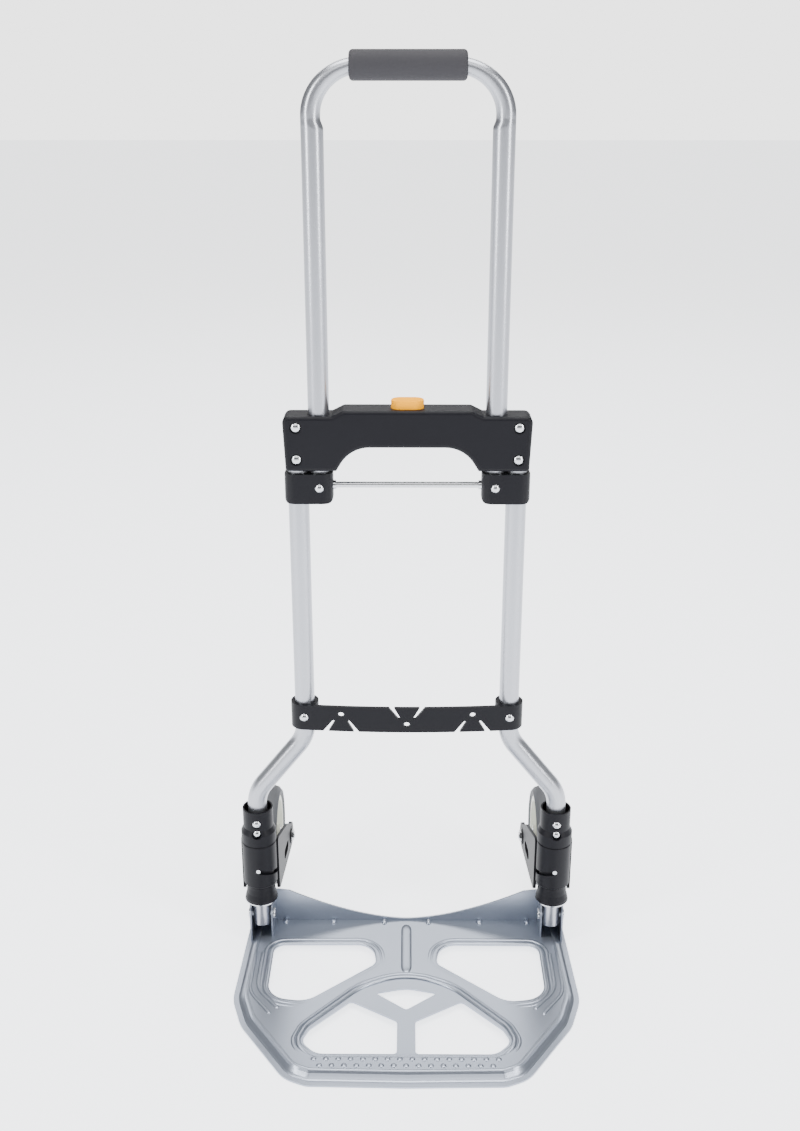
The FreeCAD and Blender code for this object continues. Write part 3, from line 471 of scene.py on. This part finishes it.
def group_bead():
    """Two nested beads round the centre and front openings, low at the front."""
    outline = rounded_path(FRONT_GROUP, FRONT_ROUNDS)
    parts = []
    for distance, width, height in FRONT_BEADS:
        line = beside(outline, distance)
        strength = np.interp(line[:, 1], [-208, -195], [0.2, 1.0])
        parts.append(bead(plan_to_row(line), width, height, True, strength))
    return joined(parts)


def rolled_edge():
    """The S-shaped wall from the flat lip up to the panel: height goes from lip
    to panel as 3u^2 - 2u^3, where u is the share of the way in from the edge."""
    line = rounded_path(PLATE_EDGE, PLATE_ROUNDS, closed=False)
    ahead = np.gradient(line, axis=0)
    ahead /= np.linalg.norm(ahead, axis=1)[:, None]
    inward = np.column_stack([-ahead[:, 1], ahead[:, 0]])
    u = np.linspace(0, 1, 12)
    reach = np.interp(u, [0, 1], WALL_REACH)
    rise = np.interp(u * u * (3 - 2 * u), [0, 1], WALL_RISE)
    reach = np.r_[reach, reach[::-1]]
    rise = np.r_[rise, rise[::-1] - WALL_SKIN]
    spots = np.empty((len(line), reach.size, 3))
    spots[:, :, :2] = plan_to_row(line[:, None] + inward[:, None] * reach[None, :, None])
    spots[:, :, 2] = rise * MM
    cols = reach.size
    faces = grid_faces(len(line), cols, wrap_cols=True).tolist()
    faces.append(list(reversed(range(cols))))
    faces.append([(len(line) - 1) * cols + c for c in range(cols)])
    return spots.reshape(-1, 3), faces


def corner_ribs():
    """Two nested ribs from each hinge channel round to the front corner."""
    parts = []
    for inset in (0.0, 8.5):
        points = [(-178 + inset, -42), (-178 + inset, -112 + inset / 2),
                  (-150 + inset, -150 + inset)]
        line = plan_to_row(rounded_path(points, [0, 40, 0], closed=False))
        parts.append(bead(line, RIB_WIDTH, RIB_HEIGHT, False))
        parts.append(bead(mirror_plan(line), RIB_WIDTH, RIB_HEIGHT, False))
    return joined(parts)


def centre_rib():
    """The wide rib down the middle, from the back edge to its rounded end."""
    line = plan_to_row(np.column_stack([np.zeros(46), np.linspace(10, -81, 46)]))
    return bead(line, *CENTRE_RIB, False)


def grip_dimples():
    """Two staggered rows of round bumps along the front edge."""
    upper = [(-97.5 + DIMPLE_PITCH * i, -217.5) for i in range(16)]
    lower = [(-91.0 + DIMPLE_PITCH * i, -227.0) for i in range(15)]
    centres = plan_to_row(np.array(upper + lower))
    return domes(centres, DIMPLE_R, DIMPLE_HEIGHT)


def back_darts():
    """Small gussets where the panel turns up into the rear flange."""
    xs = [-x for x in reversed(DART_X)] + list(DART_X)
    centres = plan_to_row(np.array([(x, 15.0) for x in xs]))
    return domes(centres, DART_R, DART_R, stretch=1.6)


# ----------------------------------------------------------------- the studio
AMBIENT = 0.22       # how bright the surround lights the truck
BACKDROP = 3.0       # how bright it looks behind the truck
FLOOR_GLOW = 2.4     # light that the floor gives off, as a lit table does
FLOOR_HALF = 30.0
LENS = 39.55
SENSOR = 36.0
EYE = (-0.0003, TUBE_Y - 1.2573, 0.9556)
LOOK_DOWN = 20.65    # degrees
LOOK_LEFT = 0.339    # degrees


def studio():
    """A pale floor, a bright surround and soft lights."""
    corners = [[-FLOOR_HALF, -FLOOR_HALF, 0], [FLOOR_HALF, -FLOOR_HALF, 0],
               [FLOOR_HALF, FLOOR_HALF, 0], [-FLOOR_HALF, FLOOR_HALF, 0]]
    mesh = bpy.data.meshes.new("studio_floor")
    mesh.from_pydata(corners, [], [[0, 1, 2, 3]])
    floor = bpy.data.objects.new("studio_floor", mesh)
    bpy.context.scene.collection.objects.link(floor)
    paint = bpy.data.materials.new("floor_paint")
    paint.use_nodes = True
    shader = paint.node_tree.nodes["Principled BSDF"]
    shader.inputs["Base Color"].default_value = (0.62, 0.64, 0.68, 1)
    shader.inputs["Roughness"].default_value = 0.6
    shader.inputs["Emission Color"].default_value = (0.97, 0.98, 1.0, 1)
    shader.inputs["Emission Strength"].default_value = FLOOR_GLOW
    mesh.materials.append(paint)

    world = bpy.data.worlds.new("studio_surround")
    world.use_nodes = True
    tree = world.node_tree
    sky = tree.nodes["Background"]
    sky.inputs["Color"].default_value = (0.97, 0.98, 1.0, 1)
    sky.inputs["Strength"].default_value = AMBIENT
    backdrop = tree.nodes.new("ShaderNodeBackground")
    backdrop.inputs["Color"].default_value = (1.0, 1.0, 1.0, 1)
    backdrop.inputs["Strength"].default_value = BACKDROP
    rays = tree.nodes.new("ShaderNodeLightPath")
    choose = tree.nodes.new("ShaderNodeMixShader")
    tree.links.new(rays.outputs["Is Camera Ray"], choose.inputs["Fac"])
    tree.links.new(sky.outputs[0], choose.inputs[1])
    tree.links.new(backdrop.outputs[0], choose.inputs[2])
    tree.links.new(choose.outputs[0], tree.nodes["World Output"].inputs["Surface"])
    bpy.context.scene.world = world

    def softbox(name, place, aim, width, height, power):
        lamp = bpy.data.lights.new(name, "AREA")
        lamp.shape = "RECTANGLE"
        lamp.size, lamp.size_y, lamp.energy = width, height, power
        obj = bpy.data.objects.new(name, lamp)
        bpy.context.scene.collection.objects.link(obj)
        obj.location = place
        towards = Vector(aim) - Vector(place)
        obj.rotation_euler = towards.to_track_quat("-Z", "Y").to_euler()

    softbox("key_left", (-2.0, -1.3, 1.5), (0, 0, 0.5), 0.5, 2.2, 62)
    softbox("key_right", (2.0, -1.3, 1.5), (0, 0, 0.5), 0.5, 2.2, 62)
    softbox("top", (0, 0.3, 3.2), (0, 0.1, 0), 2.6, 2.0, 150)
    softbox("front_top", (0, -2.0, 3.0), (0, -0.1, 0.2), 2.6, 1.6, 45)
    softbox("behind", (0, 3.2, 2.6), (0, 1.6, 0), 3.4, 1.2, 60)


def camera():
    """A standing viewer's eye, looking a little down at the truck."""
    data = bpy.data.cameras.new("camera")
    data.lens = LENS
    data.sensor_width = SENSOR
    obj = bpy.data.objects.new("camera", data)
    bpy.context.scene.collection.objects.link(obj)
    obj.location = EYE
    obj.rotation_euler = (math.radians(90 - LOOK_DOWN), 0, math.radians(LOOK_LEFT))
    bpy.context.scene.camera = obj


# ------------------------------------------------------------------- assembly
dress_nodes()
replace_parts(add_piece("bent_handle_tube", *bent_handle(), "handle", "tube_metal"), "handle_tube")
add_piece("rolled_edge", *rolled_edge(), "toe_plate", "plate_metal")
add_piece("rear_opening_beads", *opening_bead(), "toe_plate", "plate_metal")
add_piece("front_opening_bead", *group_bead(), "toe_plate", "plate_metal")
add_piece("corner_ribs", *corner_ribs(), "toe_plate", "plate_metal")
add_piece("centre_rib", *centre_rib(), "toe_plate", "plate_metal")
add_piece("grip_dimples", *grip_dimples(), "toe_plate", "plate_metal")
add_piece("back_darts", *back_darts(), "toe_plate", "plate_metal")
studio()
camera()
